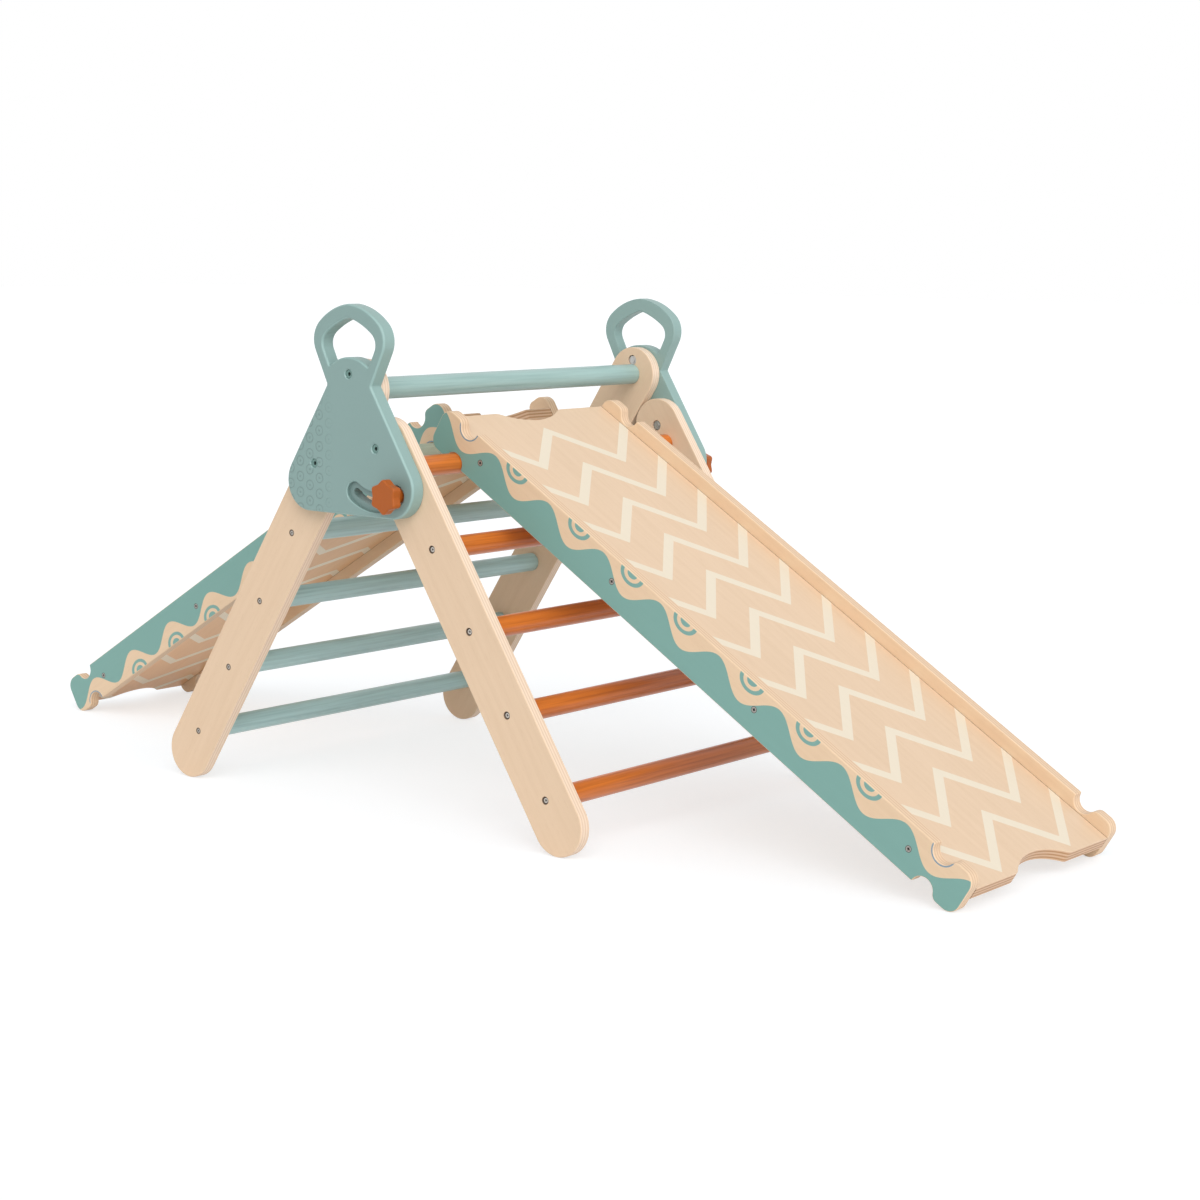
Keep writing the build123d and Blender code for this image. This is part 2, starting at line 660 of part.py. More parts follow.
for side, name, near_y, width, arch in (
        (1, "slide", slide_near_y, slide_width,
         (slide_arch_radius, slide_arch_depth, slide_arch_round)),
        (-1, "ramp", ramp_near_y, ramp_width,
         (ramp_arch_radius, ramp_arch_depth, ramp_arch_round))):
    keep(rail(side, near_y, -1), f"{name}_rail_near")
    keep(rail(side, near_y + width - ply, 1), f"{name}_rail_far")
    keep(board(side, near_y, width, *arch), f"{name}_board")
    keep(rail_screws(side, near_y, -1), f"{name}_screws_near")
    keep(rail_screws(side, near_y + width, 1), f"{name}_screws_far")

print("slope", round(degrees(slope), 3), "foot corner at x", round(ramp_foot_x, 2))
print("crossing z", round(cross_z, 2), "pivot", round(pivot_x, 2), round(pivot_z, 2))
print("hook rung", round(hook_x, 2), round(hook_z, 2), "clamp", round(clamp_x, 2), round(clamp_z, 2))
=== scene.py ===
# %% [markdown]
# # A climbing triangle with a slide and a ramp
#
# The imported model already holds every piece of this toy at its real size: plywood legs and
# rails, round rungs, moulded brackets, star knobs, bolts and screws. Nothing is modelled
# again here. The lesson is about finishes: a few helpers turn short sums into plywood,
# painted bands, stained beech, plastic and metal, and a plain studio shows them.

from math import cos, pi, radians, sin

import bpy
from mathutils import Matrix, Vector

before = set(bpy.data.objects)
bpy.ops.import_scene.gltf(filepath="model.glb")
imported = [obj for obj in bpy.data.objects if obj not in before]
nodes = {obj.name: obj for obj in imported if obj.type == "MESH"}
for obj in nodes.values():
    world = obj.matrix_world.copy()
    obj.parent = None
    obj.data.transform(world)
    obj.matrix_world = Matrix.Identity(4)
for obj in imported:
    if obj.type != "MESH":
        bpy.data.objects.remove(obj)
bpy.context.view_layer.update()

# %% [markdown]
# ## The places that the patterns follow
#
# Grain and painted patterns run along the plates, and the plates lean. A pattern needs to
# know how far a point is along a plate, across it and through it. Each of these is a dot
# product with a direction, so a few directions and starting points are all it takes. The
# other way is an unwrapped map for each plate, but a map has seams along the edges, and
# that is just where plywood shows its layers.

# %% Directions and starting points, in metres
ply = 0.018                               # thickness of every plate
ladder_lean = radians(33)                 # legs, from the vertical
board_slope = radians(31.1086)            # slide and ramp, from the floor
leg_foot_x, leg_foot_z = 0.36954, 0.0425  # centre of a leg's round foot
rail_foot_x = 0.9072                      # centre of the round corner that a rail stands on
foot_corner = 0.0175                      # radius of that corner
rail_length, rail_height = 1.04, 0.063
hands = {"near": -1, "far": 1}            # the sign of Y
ladders = {"rear": -1, "front": 1}        # the sign of X at the feet
boards = {"ramp": -1, "slide": 1}


def leg_frame(side):
    """Centre of a leg's foot, the direction up the leg and the direction across it."""
    along = Vector((-side * sin(ladder_lean), 0, cos(ladder_lean)))
    across = Vector((side * cos(ladder_lean), 0, sin(ladder_lean)))
    return Vector((side * leg_foot_x, 0, leg_foot_z)), along, across


def board_frame(side):
    """Foot corner of a rail before rounding, the direction up the slope, and the normal."""
    along = Vector((-side * cos(board_slope), 0, sin(board_slope)))
    up = Vector((side * sin(board_slope), 0, cos(board_slope)))
    corner = Vector((side * rail_foot_x, 0, foot_corner))
    return corner - (along + up) * foot_corner, along, up


print("slide starts at", tuple(round(c, 4) for c in board_frame(boards["slide"])[0]))

# %% [markdown]
# ## The camera
#
# A long lens from a few metres away, a little above the handles, looking down slightly. A
# wide lens close by would frame the toy as well, but it would make the near leg look far
# bigger than the far one. The camera is turned about the vertical first, then tipped, then
# rolled by less than a degree, as a tripod set by hand is.

# %% Place the camera
lens, sensor = 72.3, 36                 # millimetres
stand = (2.40785, -2.72645, 0.81852)    # metres
turn, tip, roll = 39.223, 8.431, 0.615  # degrees

camera_data = bpy.data.cameras.new("studio_camera")
camera_data.sensor_width = sensor
camera_data.lens = lens
camera = bpy.data.objects.new("studio_camera", camera_data)
bpy.context.scene.collection.objects.link(camera)
bpy.context.scene.camera = camera
turned = Matrix.Rotation(radians(turn), 4, "Z")
tipped = Matrix.Rotation(radians(90 - tip), 4, "X")
rolled = Matrix.Rotation(radians(roll), 4, "Z")
camera.matrix_world = Matrix.Translation(stand) @ turned @ tipped @ rolled
print("camera stands at", tuple(round(c, 3) for c in camera.location))

# %% [markdown]
# ## Writing materials as sums
#
# Node trees get hard to read when they are long. Here a small class wraps a socket and
# lets plus, minus, times and the like add the Math nodes, so that a pattern reads like the
# sum it is. Only plain numbers go through it: a Math node would turn a colour grey, so
# colours and vectors have nodes of their own kind further down.

# %% A socket that takes part in sums


class Flow:
    """One output socket of a node tree. Sums with it add Math nodes."""

    def __init__(self, graph, socket):
        self.graph, self.socket = graph, socket

    def math(self, operation, *others):
        return self.graph.add("ShaderNodeMath", {"operation": operation}, [self, *others])

    def reflected(self, operation, other):
        return self.graph.add("ShaderNodeMath", {"operation": operation}, [other, self])

    def __add__(self, other):
        return self.math("ADD", other)

    __radd__ = __add__

    def __sub__(self, other):
        return self.math("SUBTRACT", other)

    def __rsub__(self, other):
        return self.reflected("SUBTRACT", other)

    def __mul__(self, other):
        return self.math("MULTIPLY", other)

    __rmul__ = __mul__

    def __truediv__(self, other):
        return self.math("DIVIDE", other)

    def __rtruediv__(self, other):
        return self.reflected("DIVIDE", other)

    def __mod__(self, other):
        return self.math("FLOORED_MODULO", other)

    def __rmod__(self, other):
        return self.reflected("FLOORED_MODULO", other)

    def __pow__(self, other):
        return self.math("POWER", other)

    def __rpow__(self, other):
        return self.reflected("POWER", other)

    def __abs__(self):
        return self.math("ABSOLUTE")

    def __lt__(self, other):
        return self.math("LESS_THAN", other)

    def __gt__(self, other):
        return self.math("GREATER_THAN", other)


print("sums ready")

# %% [markdown]
# ## One way to add a node
#
# Every other node comes from one method: its type, its settings, then the values or links
# of its inputs. The sky at the end is a node tree as well, so the method belongs to a class
# of its own, and a finish is such a tree with a shader in it.

# %% A node tree


class Graph:
    """A node tree, with one way to add a node to it."""

    def __init__(self, tree):
        self.tree = tree

    def put(self, socket, value):
        """Link a flow to a socket, or write a plain value on it."""
        if isinstance(value, Flow):
            self.tree.links.new(value.socket, socket)
        elif socket.type == "VECTOR":
            socket.default_value = tuple(value)[:3]
        else:
            socket.default_value = value

    def add(self, kind, settings, values, output=0):
        """Add a node, set its settings and inputs, and return one of its outputs."""
        node = self.tree.nodes.new(kind)
        for key, value in settings.items():
            setattr(node, key, value)
        pairs = values.items() if isinstance(values, dict) else enumerate(values)
        for key, value in pairs:
            self.put(node.inputs[key], value)
        return Flow(self, node.outputs[output])


print("node trees ready")

# %% [markdown]
# ## A finish
#
# A finish is a material that reads where each point of the object is. The names below are
# the steps that the patterns share: a distance along a direction, smooth noise, a soft
# step, a mix of two colours, a colour made lighter, and a bump. All of them work on the
# object's own coordinates, so a pattern stays on its piece when the piece moves.

# %% A finish and its common steps


class Finish(Graph):
    """A material, with short names for the steps that the patterns share."""

    def __init__(self, name):
        self.material = bpy.data.materials.new(name)
        self.material.use_nodes = True
        super().__init__(self.material.node_tree)
        self.shader = self.tree.nodes["Principled BSDF"]
        self.place = self.add("ShaderNodeTexCoord", {}, [], "Object")

    def axes(self):
        """The X, Y and Z of a point, in metres."""
        split = self.add("ShaderNodeSeparateXYZ", {}, [self.place])
        return [Flow(self, socket) for socket in split.socket.node.outputs]

    def dot(self, direction, start=(0, 0, 0)):
        """How far a point lies along a direction from a starting point, in metres."""
        direction = Vector(direction)
        reach = self.add("ShaderNodeVectorMath", {"operation": "DOT_PRODUCT"},
                         [self.place, direction], "Value")
        return reach - direction.dot(Vector(start))

    def vector(self, x, y, z):
        return self.add("ShaderNodeCombineXYZ", {}, [x, y, z])

    def noise(self, vector, scale=1.0, detail=3.0, roughness=0.5):
        """Smooth noise about 0.5."""
        return self.add("ShaderNodeTexNoise", {},
                        {"Vector": vector, "Scale": scale, "Detail": detail,
                         "Roughness": roughness}, "Fac")

    def steps(self, value, low, high):
        """0 below low, 1 above high, and smooth in between."""
        return self.add("ShaderNodeMapRange", {"interpolation_type": "SMOOTHSTEP"},
                        {"Value": value, "From Min": low, "From Max": high})

    def past(self, value, limit, blur):
        """0 below a limit and 1 above it, with a soft edge half a blur either way."""
        return self.steps(value, limit - blur / 2, limit + blur / 2)

    def between(self, value, low, high, blur):
        """1 between two limits and 0 outside them, with soft edges."""
        return self.past(value, low, blur) * (1 - self.past(value, high, blur))

    def mix(self, share, one, two):
        """Colour one where the share is 0, colour two where it is 1."""
        share_in, one_in, two_in = 0, 6, 7
        return self.add("ShaderNodeMix", {"data_type": "RGBA"},
                        {share_in: share, one_in: one, two_in: two}, 2)

    def scale_colour(self, colour, amount):
        """A colour made lighter or darker by a factor."""
        return self.add("ShaderNodeVectorMath", {"operation": "SCALE"},
                        {0: colour, "Scale": amount}, "Vector")

    def tint(self, colour, shares):
        """A colour with its red, green and blue each made lighter or darker."""
        return self.add("ShaderNodeVectorMath", {"operation": "MULTIPLY"},
                        [colour, shares], "Vector")

    def bump(self, height, distance, strength):
        return self.add("ShaderNodeBump", {},
                        {"Height": height, "Distance": distance, "Strength": strength},
                        "Normal")

    def surface(self, **sockets):
        """Set the sockets of the main shader, with underscores for spaces."""
        for key, value in sockets.items():
            title = key.replace("_", " ").title().replace("Ior", "IOR")
            self.put(self.shader.inputs[title], value)
        return self.material


print("finishes ready")

# %% [markdown]
# ## Colours and dressing
#
# Colours are easiest to judge on a screen, from 0 to 255, but a shader wants them linear,
# so one function changes them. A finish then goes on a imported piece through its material
# slots. The piece itself isn't touched.

# %% Screen colours, and putting a finish on pieces


def rgb(red, green, blue):
    """A screen colour, 0 to 255, as the linear colour that shaders want."""
    def linear(c):
        c /= 255
        return c / 12.92 if c <= 0.04045 else ((c + 0.055) / 1.055) ** 2.4
    return (linear(red), linear(green), linear(blue), 1)


def dress(names, material):
    """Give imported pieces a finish."""
    for name in names:
        mesh = nodes[name].data
        mesh.materials.clear()
        mesh.materials.append(material)


def on_both_hands(stem):
    """The near and the far piece of a pair."""
    return [f"{stem}_{where}" for where in hands]


print("white is", tuple(round(c, 3) for c in rgb(255, 255, 255)))

# %% [markdown]
# ## Birch grain
#
# A plate's faces are peeled birch under a satin lacquer: pale, with long soft streaks,
# short darker flecks, and a slow drift from one tone to another. A photographed texture
# would show the same board on every plate. Noise that is stretched along the grain gives
# each plate its own, and a seed moves it to another place for the next plate.

# %% Grain
veneer, veneer_dark = rgb(229, 201, 171), rgb(205, 172, 136)
drift_along, drift_across, drift_through = 2.2, 6, 4  # waves in a metre
streak_along, streak_across, streak_sway = 7, 120, 2
fleck_along, fleck_across = 70, 900
streak_low, streak_high, streak_share = 0.30, 0.80, 0.17
fleck_low, fleck_high, fleck_share = 0.60, 0.72, 0.26
drift_share = 0.08


def grain(finish, along, across, through, seed):
    """Streaks, flecks and drift along a plate, each from 0 to 1."""
    drift = finish.noise(finish.vector(along * drift_along + seed, across * drift_across,
                                       through * drift_through), detail=2)
    streak = finish.noise(finish.vector(along * streak_along + seed,
                                        across * streak_across + drift * streak_sway,
                                        through * streak_across))
    fleck = finish.noise(finish.vector(along * fleck_along, across * fleck_across + seed,
                                       through * fleck_across), detail=2)
    return streak, finish.steps(fleck, fleck_low, fleck_high), drift


def veneer_colour(finish, streak, fleck, drift):
    """Colour of a plate's face."""
    darker = finish.steps(streak, streak_low, streak_high) * streak_share
    face = finish.mix(darker, veneer, veneer_dark)
    face = finish.mix(fleck * fleck_share, face, veneer_dark)
    return finish.scale_colour(face, (drift - 0.5) * drift_share + 1)


print("birch grain ready")

# %% [markdown]
# ## Plywood edges
#
# On its edges a plate shows the stack of thin layers that it is glued from, light and dark
# in turn. The stack depends on the depth through the plate alone, so one material does
# both: near the faces the depth gives the veneer, and further in it gives the layers. The
# veneer's share ends just inside the rounded rim, where a real plate's does.

# %% Layers
layer_light, layer_dark = rgb(240, 218, 196), rgb(190, 146, 102)
layer_count = 7
layer_low, layer_high = 0.35, 0.75  # where a light layer turns dark
veneer_depth = 0.0011
pore_along, pore_through, pore_share = 260, 420, 0.05
plain = (1, 1, 1)


def plywood_colour(finish, along, across, through, seed,
                   face_tone=plain, edge_tone=plain, line_share=0.3):
    """Colour of plywood, and its streaks. Through is the depth from the plate's middle."""
    streak, fleck, drift = grain(finish, along, across, through, seed)
    face = veneer_colour(finish, streak, fleck, drift)
    layer = (through / ply + 0.5) * layer_count
    odd = (layer - 0.5).math("PINGPONG", 1.0)
    darker = finish.steps(odd, layer_low, layer_high) * line_share
    stack = finish.mix(darker, layer_light, layer_dark)
    pores = finish.noise(finish.vector(along * pore_along + seed, across * pore_along,
                                       through * pore_through))
    stack = finish.scale_colour(stack, (pores - 0.5) * pore_share + 1)
    inside = abs(through) < ply / 2 - veneer_depth
    colour = finish.mix(inside, finish.tint(face, face_tone), finish.tint(stack, edge_tone))
    return colour, streak


print("layers", layer_count, "in", ply, "m")

# %% [markdown]
# ## Legs
#
# The four legs are plywood with a row of screws. Each screw lies at the bottom of a bore that
# is wider than its head, and the shade in the bore is painted on as a dark ring. The ring is
# drawn round the nearest point of the row: folding the distance along the leg back and forth
# turns the whole row into one point.

# %% Legs
screw_first, screw_pitch = 0.0385, 0.128    # up a leg from its foot's centre
bore_radius = {"rear": 0.0051, "front": 0.0057}
bore_blur, bore_shade_share, bore_shade = 0.0006, 0.8, rgb(84, 62, 46)
leg_face = {"rear": 0.316, "front": 0.3157}  # a leg's outer face, from the middle
wood_gloss = 1.45                            # index of refraction of the lacquer
grain_depth = 0.0002
leg_roughness, leg_roughness_change, leg_bump = 0.44, 0.12, 0.35


def row_reach(along, across, first, pitch):
    """Distance to the nearest of a row of points at equal steps along a plate."""
    step = (along - first).math("PINGPONG", pitch / 2)
    return (step ** 2 + across ** 2) ** 0.5


def leg_plywood(ladder, where):
    side, hand = ladders[ladder], hands[where]
    finish = Finish(f"birch_{ladder}_leg_{where}")
    start, along_way, across_way = leg_frame(side)
    along = finish.dot(along_way, start)
    across = finish.dot(across_way, start)
    through = finish.dot((0, 1, 0)) - hand * (leg_face[ladder] - ply / 2)
    seed = side * 3 + hand * 1.7
    colour, streak = plywood_colour(finish, along, across, through, seed)
    reach = row_reach(along, across, screw_first, screw_pitch)
    # painted shade: the bore round each screw head is drawn as a dark ring
    ring = 1 - finish.past(reach, bore_radius[ladder], bore_blur)
    colour = finish.mix(ring * bore_shade_share, colour, bore_shade)
    return finish.surface(base_color=colour, ior=wood_gloss,
                          roughness=streak * leg_roughness_change + leg_roughness,
                          normal=finish.bump(streak, grain_depth, leg_bump))


for ladder in ladders:
    for where in hands:
        dress([f"{ladder}_leg_{where}"], leg_plywood(ladder, where))
print("legs dressed")

# %% [markdown]
# ## The print on the rails
#
# The rails' outer faces are printed teal, with a natural band along one edge. The band's
# border is a plain wave with nine crests, and a half disc inside a half ring sits under
# each crest but the two end ones. A stencil could do this, but all of it is a function of
# two distances, along the rail and from the edge with the band, so sums do it sharply at
# any size. The slide has its band on top, and the ramp hangs turned over, so its band is
# below.

# %% Border, half rings and half discs
wave_pitch, wave_middle, wave_height = 0.1157, 0.0218, 0.0157
wave_shift = {"slide": 0, "ramp": 0.012}
motif_places = (0.1846, 0.2951, 0.4010, 0.5305, 0.6374, 0.7469, 0.8802)  # up the rail
motif_stretch, motif_sink = 1.27, 0.0005
disc_radius, ring_inner, ring_outer = 0.00725, 0.01235, 0.01735
print_blur, border_blur = 0.0005, 0.0006


def border_paint(finish, along, from_edge, shift):
    """1 beyond the wave."""
    angle = (along - rail_length / 2 - shift) * (2 * pi / wave_pitch)
    border = angle.math("COSINE") * wave_height + wave_middle
    return finish.past(from_edge - border, 0, border_blur)


def motif_paint(finish, along, from_edge, shift):
    """1 in the half rings and half discs."""
    apart = None
    for place in motif_places:
        here = abs(along - place - shift / 2)
        apart = here if apart is None else apart.math("MINIMUM", here)
    reach = ((apart / motif_stretch) ** 2 + (from_edge - motif_sink) ** 2) ** 0.5
    ring = finish.between(reach, ring_inner, ring_outer, print_blur)
    return ring + (1 - finish.past(reach, disc_radius, print_blur))


print("motifs on a rail", len(motif_places))

# %% [markdown]
# ## Rails
#
# A thin blue-grey line follows each notch where it cuts the natural band. The print stops
# where the edge's rounding starts, which leaves a thin light line of bare wood round the
# face: a test on the depth does that.

# %% Rails
teal, blue_grey = rgb(124, 168, 160), rgb(130, 152, 168)
notch_inset, notch_radius, notch_line = 0.054, 0.0163, 0.0029
rail_faces = {"slide": {"near": -0.197, "far": 0.184},
              "ramp": {"near": -0.093, "far": 0.164}}  # a rail's outer face, in Y
print_depth = 0.00012
rail_face_tone, rail_edge_tone, rail_line_share = (1.04, 1.03, 1.0), (0.90, 0.83, 0.73), 0.35
rail_roughness, print_roughness, rail_bump = 0.46, 0.40, 0.3
paint_change = 0.05  # how far the grain shows through the print


def notch_paint(along, from_edge):
    """1 in a line round the notches at both ends of the edge."""
    from_end = rail_length / 2 - abs(along - rail_length / 2)
    reach = ((from_end - notch_inset) ** 2 + (from_edge - motif_sink) ** 2) ** 0.5
    return reach < notch_radius + notch_line


def painted_rail(board, where):
    side, hand, shift = boards[board], hands[where], wave_shift[board]
    finish = Finish(f"birch_print_{board}_{where}")
    start, along_way, up = board_frame(side)
    along = finish.dot(along_way, start)
    height = finish.dot(up, start)
    from_edge = rail_height - height if board == "slide" else height
    through = finish.dot((0, 1, 0)) - (rail_faces[board][where] - hand * ply / 2)
    seed = side * 5 + hand * 2.3
    colour, streak = plywood_colour(finish, along, height, through, seed,
                                    rail_face_tone, rail_edge_tone, rail_line_share)
    painted = border_paint(finish, along, from_edge, shift)
    motif = motif_paint(finish, along, from_edge, shift)
    rim = notch_paint(along, from_edge) * (1 - painted)
    paint = finish.mix(rim, teal, blue_grey)
    paint = finish.scale_colour(paint, (streak - 0.5) * paint_change + 1)
    on_face = abs(through - hand * ply / 2) < print_depth
    cover = ((painted + motif + rim) > 0.5) * on_face
    colour = finish.mix(cover, colour, paint)
    roughness = rail_roughness - cover * (rail_roughness - print_roughness)
    return finish.surface(base_color=colour, roughness=roughness, ior=wood_gloss,
                          normal=finish.bump(streak, grain_depth, rail_bump))


for board in boards:
    for where in hands:
        dress([f"{board}_rail_{where}"], painted_rail(board, where))
print("rails dressed")

# %% [markdown]
# ## Zigzag bands on the boards
#
# The boards lie between the rails, and one face of each has cream zigzag bands. A triangle
# wave of the distance across the board says how far the band has climbed there, and a
# remainder repeats it up the board. Folding does for the triangle what it did for the row
# of screws. The ramp's patterned face looks down into shade, so it gets painted warm bounce
# light: its wood is tinted warmer and its cream is made lighter.

# %% Zigzag
cream = rgb(230, 218, 197)
band_count, band_blur, first_slack, last_slack = 11, 0.0006, 0.0005, 0.001
zigzags = {
    "slide": {"crest_y": -0.0130, "half_period": 0.0896, "rise": 0.0795, "pitch": 0.0889,
              "first": 0.0088, "band": 0.0204},
    "ramp": {"crest_y": -0.0830, "half_period": 0.1050, "rise": 0.0790, "pitch": 0.0875,
             "first": -0.0385, "band": 0.0180},
}


def zigzag_paint(finish, along, across, crest_y, half_period, rise, pitch, first, band):
    """1 in the zigzag bands."""
    fold = (across - crest_y).math("PINGPONG", half_period)
    climbed = along - first - (1 - fold / half_period) * rise
    line = 1 - finish.past(climbed % pitch, band, band_blur)
    return line * (climbed > -first_slack) * (climbed < pitch * band_count - last_slack)


print("zigzags for", ", ".join(zigzags))

# %% [markdown]
# ## Boards
#
# A thin dark line along both long edges is the joint against the rails. It is drawn on the
# board, because a real gap of a millimetre would let light through.

# %% Boards
joint_dark, joint_width, joint_blur, joint_share = rgb(128, 96, 66), 0.0012, 0.0008, 0.85
# the boards' edges are tinted darker than other plates' edges: partly their own end grain, partly
# painted shade for the foot end, which faces down
board_face_tone, board_edge_shade_tone, board_line_share = (0.96, 0.96, 0.96), (0.78, 0.65, 0.53), 0.8
printed_height = {"slide": 0.044, "ramp": 0.019}  # the face with the bands, above the rail's foot
middle_height = {"slide": 0.035, "ramp": 0.028}
face_slack = 0.0002
board_roughness, board_roughness_change, board_bump = 0.40, 0.1, 0.25
cream_change = 0.04
board_reach = {"slide": (-0.179, 0.166), "ramp": (-0.075, 0.146)}  # in Y
# painted warm bounce light on the ramp's face that looks down; the slide's face is left plain
painted_bounce_tint = {"slide": plain, "ramp": (1.16, 0.98, 0.80)}
board_seed = {"slide": 4.1, "ramp": 7.7}


def zigzag_board(board):
    finish = Finish(f"birch_zigzag_{board}")
    start, along_way, up = board_frame(boards[board])
    along = finish.dot(along_way, start)
    height = finish.dot(up, start)
    across = finish.dot((0, 1, 0))
    bounce_tint = painted_bounce_tint[board]
    low, high = board_reach[board]
    colour, streak = plywood_colour(finish, along, across, height - middle_height[board],
                                    board_seed[board], board_face_tone, board_edge_shade_tone,
                                    board_line_share)
    face = abs(height - printed_height[board]) < face_slack
    # painted bounce light: the face with the bands is tinted warmer on the ramp
    colour = finish.mix(face, colour, finish.tint(colour, bounce_tint))
    line = zigzag_paint(finish, along, across, **zigzags[board])
    # on the ramp the cream is made lighter by the tint's red share, painted light in the shade
    shade = finish.scale_colour(cream, (streak - 0.5) * cream_change + bounce_tint[0])
    colour = finish.mix(line * face, colour, shade)
    to_rail = (across - low).math("MINIMUM", high - across)
    joint = 1 - finish.past(to_rail, joint_width, joint_blur)
    colour = finish.mix(joint * joint_share, colour, joint_dark)
    return finish.surface(base_color=colour, ior=wood_gloss,
                          roughness=streak * board_roughness_change + board_roughness,
                          normal=finish.bump(streak, grain_depth, board_bump))


for board in boards:
    dress([f"{board}_board"], zigzag_board(board))
print("boards dressed")

# %% [markdown]
# ## Stained rungs
#
# The rungs are turned beech under a coloured stain and a satin varnish: orange on the front
# ladder, grey-teal on the rear one with a paler green one on top. Paint would be one flat
# colour. A stain lets some grain through, so the colour is mixed with a darker one along
# streaks that run the length of the rung. The varnish is the shader's own clear coat.

# %% Rungs and top bar
rung_streak_across, rung_streak_along = 240, 5
rung_cloud_across, rung_cloud_along = 20, 4
stain_low, stain_high, stain_share, cloud_share = 0.35, 0.75, 0.6, 0.18
rung_roughness, rung_roughness_change, rung_bump = 0.30, 0.1, 0.3
varnish = {"ior": 1.5, "specular_ior_level": 0.4, "coat_weight": 0.25, "coat_roughness": 0.18}


def stained(name, colour, dark, seed):
    finish = Finish(name)
    x, y, z = finish.axes()
    streak = finish.noise(finish.vector(x * rung_streak_across + seed, y * rung_streak_along,
                                        z * rung_streak_across), detail=4, roughness=0.6)
    cloud = finish.noise(finish.vector(x * rung_cloud_across, y * rung_cloud_along + seed,
                                       z * rung_cloud_across), detail=2)
    darker = finish.steps(streak, stain_low, stain_high) * stain_share
    tone = finish.mix(darker, colour, dark)
    tone = finish.scale_colour(tone, (cloud - 0.5) * cloud_share + 1)
    return finish.surface(base_color=tone,
                          roughness=streak * rung_roughness_change + rung_roughness,
                          normal=finish.bump(streak, grain_depth, rung_bump), **varnish)


orange_stain = rgb(214, 119, 41), rgb(158, 77, 23)
teal_stain = rgb(171, 205, 205), rgb(136, 170, 170)
pale_stain = rgb(182, 196, 178), rgb(160, 176, 158)
bar_stain = rgb(158, 188, 184), rgb(132, 162, 159)
top_rung = 5
for number in range(1, top_rung + 1):
    dress([f"front_rung_{number}"],
          stained(f"orange_stain_{number}", *orange_stain, number * 1.3))
    greys = pale_stain if number == top_rung else teal_stain
    dress([f"rear_rung_{number}"], stained(f"teal_stain_{number}", *greys, number * 2.1))
dress(["top_bar"], stained("teal_stain_bar", *bar_stain, 9.3))
print("rungs dressed", 2 * top_rung)

# %% [markdown]
# ## Moulded plastic
#
# Brackets and knobs are injection moulded with a fine spark texture: almost flat colour,
# a soft sheen, and a pitted surface that only shows close up. Fine noise gives the pits to
# the bump and the gloss, and slow noise changes the tone a little, as thick and thin walls
# do. The knobs have no more than that.

# %% Knobs
cloud_scale = 14
plastic_ior = 1.5
bracket_colour, bracket_grit = rgb(134, 162, 158), 1400
knob_colour, knob_grit = rgb(172, 88, 26), 1100
pit_depth, pit_bump, pit_roughness = 0.0001, 0.4, 0.2
knob_tone_change, bracket_tone_change = 0.06, 0.05


def mould_texture(finish, grit):
    """Pits of the mould's texture, and a slow change of tone."""
    return (finish.noise(finish.place, scale=grit, detail=2),
            finish.noise(finish.place, scale=cloud_scale, detail=2))


def moulded(name, colour, roughness, grit, shine):
    finish = Finish(name)
    pits, cloud = mould_texture(finish, grit)
    level = (cloud - 0.5) * knob_tone_change + (pits - 0.5) * knob_tone_change + 1
    return finish.surface(base_color=finish.scale_colour(colour, level),
                          roughness=(pits - 0.5) * pit_roughness + roughness,
                          ior=plastic_ior, specular_ior_level=shine,
                          normal=finish.bump(pits, pit_depth, pit_bump))


dress(on_both_hands("clamp_knob"),
      moulded("orange_plastic", knob_colour, roughness=0.34, grit=knob_grit, shine=0.3))
print("knobs dressed")

# %% [markdown]
# ## Brackets
#
# Towards its lower corner at the rear, a bracket's face has staggered rows of faint small
# rings, pressed into the mould. Modelling dozens of them for a relief of a hair's depth
# would cost more than it shows, so they are bump and a slightly darker tone, which is
# painted shade in their grooves. The rounded rims get a painted highlight, the side walls
# are painted lighter as if lit from the side, and the clamp's curved recess gets painted
# shade.

# %% Brackets
mark_pitch = 0.0225
mark_column = mark_pitch * cos(pi / 6)
mark_inner, mark_outer, mark_blur = 0.00595, 0.00755, 0.0007
mark_dot, mark_dot_blur = 0.0017, 0.0010
field_x, field_x_blur, field_z, field_z_blur = -0.042, 0.040, 0.60, 0.06
wall_depth, rim_low, rim_high, face_depth = 0.3338, 0.3350, 0.3374, 0.3379  # in Y
pivot_x, pivot_z = 0.05157, 0.53213
slot_radius, slot_half_width, slot_half_reach, slot_floor = 0.075, 0.0150, 0.056, 0.3362
ring_shade_share, rim_highlight_share, wall_light_share, slot_shade_share = 0.18, 0.24, 0.12, 0.30
mark_depth, mark_bump, pits_to_marks = 0.0006, 0.7, 0.15


def mark_paint(finish, x, z):
    """1 in the small rings and their dots."""
    column = x / mark_column + 0.5
    off_x = (column.math("FRACT") - 0.5) * mark_column
    row = z / mark_pitch + (column.math("FLOOR") % 2.0) * 0.5 + 0.5
    off_z = (row.math("FRACT") - 0.5) * mark_pitch
    reach = (off_x ** 2 + off_z ** 2) ** 0.5
    ring = finish.between(reach, mark_inner, mark_outer, mark_blur)
    dot = 1 - finish.past(reach, mark_dot, mark_dot_blur)
    to_rear = 1 - finish.past(x, field_x, field_x_blur)
    return (ring + dot) * to_rear * (1 - finish.past(z, field_z, field_z_blur))


def slot_shade(x, z, depth):
    """1 on the floor of the clamp's curved recess, below the pivot, where shade is painted."""
    from_pivot = ((x - pivot_x) ** 2 + (z - pivot_z) ** 2) ** 0.5
    in_arc = (abs(from_pivot - slot_radius) < slot_half_width) * (z < pivot_z)
    return in_arc * (abs(x - pivot_x) < slot_half_reach) * (depth < slot_floor)


